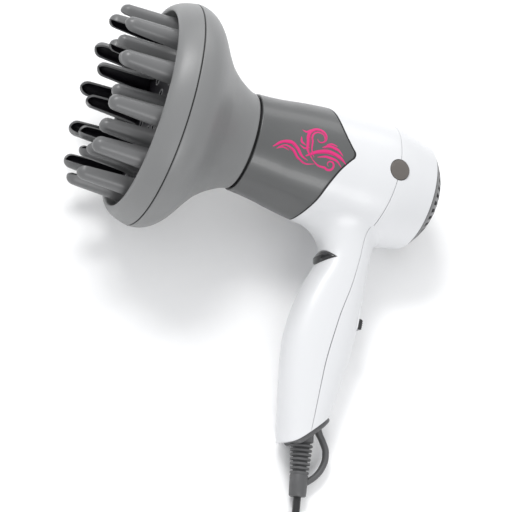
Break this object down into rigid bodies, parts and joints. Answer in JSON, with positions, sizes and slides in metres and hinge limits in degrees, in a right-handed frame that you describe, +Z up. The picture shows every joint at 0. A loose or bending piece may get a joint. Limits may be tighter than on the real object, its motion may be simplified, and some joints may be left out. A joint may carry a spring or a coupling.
{
  "type": "hair dryer",
  "caption": "Pistol-grip hair dryer with a finger diffuser on its nozzle, cool-shot button, slide switches, hanging loop and mains cord.",
  "frame": {"origin": "middle of the footprint of the dryer without its free cord, on the table that it lies on", "axes": "+Z up from the table; +X roughly from the diffuser toward the air inlet; +Y from the handle's end toward the barrel"},
  "size_m": [0.2398, 0.3986, 0.1396],
  "materials": {
    "shell_white": "glossy moulded plastic",
    "sleeve_grey": "satin lacquer with a printed scroll ornament",
    "cap_taupe": "satin",
    "grille_grey": "satin moulded plastic",
    "diffuser_grey": "satin moulded plastic",
    "finger_dark": "satin heat-proof plastic",
    "gloss_black": "glossy",
    "relief_rubber": "soft rubber",
    "cord_black": "smooth flexible sheath",
    "tie_black": "hook and loop band",
    "pin_nickel": "nickel plated",
    "steel": "bright steel",
    "switch_black": "matte",
    "board_brown": "phenolic board",
    "lead_red": "silicone sleeve",
    "heat_resin": "heat-proof resin",
    "mica": "mica sheet",
    "heater_wire": "oxidised resistance wire",
    "ceramic": "glazed ceramic",
    "duct_black": "moulded plastic",
    "filter_mesh": "open mesh"
  },
  "bodies": {
    "root": {"front_shell": "shell_white", "rear_shell": "shell_white", "nozzle_sleeve": "sleeve_grey", "side_cap_left": "cap_taupe", "side_cap_right": "cap_taupe", "strain_relief": "relief_rubber", "duct_seal": "relief_rubber", "cord_lead": "cord_black", "cord_coil": "cord_black", "cord_tail": "cord_black", "plug_body": "cord_black", "mains_lead_inside": "cord_black", "cord_tie": "tie_black", "plug_pins": "pin_nickel", "housing_screws": "steel", "button_spring": "steel", "motor_can": "steel", "speed_switch": "switch_black", "heat_switch": "switch_black", "cool_shot_switch": "switch_black", "cord_clamp": "switch_black", "switch_board": "board_brown", "heater_leads": "lead_red", "outlet_spigot": "heat_resin", "outlet_grille": "heat_resin", "heat_shield": "mica", "heater_boards": "mica", "heater_coil": "heater_wire", "thermostat": "ceramic", "thermal_fuse": "ceramic", "fan_duct": "duct_black"},
    "rotor": {"motor_shaft": "steel", "fan_impeller": "duct_black"},
    "cool_shot": {"cool_shot_button": "gloss_black"},
    "speed_slider": {"speed_knob": "gloss_black"},
    "heat_slider": {"heat_knob": "gloss_black"},
    "inlet_cover": {"inlet_grille": "grille_grey", "dust_filter": "filter_mesh"},
    "diffuser_grip": {"diffuser_grip_ring": "relief_rubber"},
    "diffuser": {"diffuser_shell": "diffuser_grey", "diffuser_rim": "diffuser_grey", "finger_plate": "finger_dark", "outer_fingers": "finger_dark", "inner_fingers": "finger_dark"}
  },
  "joints": [
    {"name": "fan_spin", "type": "hinge", "parent": "root", "child": "rotor", "pos_m": [-0.01432, 0.0658, 0.05925], "axis": [0.98, 0, -0.199], "continuous": true},
    {"name": "cool_shot_press", "type": "slide", "parent": "root", "child": "cool_shot", "axis": [0.98, 0, -0.199], "range_m": [0, 0.0022], "stiffness_N_per_m": 600, "deforming": ["button_spring"]},
    {"name": "speed_slide", "type": "slide", "parent": "root", "child": "speed_slider", "axis": [0.0374, 0.9822, 0.1841], "range_m": [0, 0.008]},
    {"name": "heat_slide", "type": "slide", "parent": "root", "child": "heat_slider", "axis": [0.0374, 0.9822, 0.1841], "range_m": [0, 0.008]},
    {"name": "inlet_twist", "type": "hinge", "parent": "root", "child": "inlet_cover", "pos_m": [0.10328, 0.0658, 0.03537], "axis": [0.98, 0, -0.199], "range_deg": [0, 18]},
    {"name": "diffuser_pull", "type": "slide", "parent": "root", "child": "diffuser_grip", "axis": [-0.98, 0, 0.199], "range_m": [0, 0.03]},
    {"name": "diffuser_turn", "type": "hinge", "parent": "diffuser_grip", "child": "diffuser", "pos_m": [-0.03392, 0.0658, 0.06323], "axis": [0.98, 0, -0.199], "continuous": true}
  ]
}
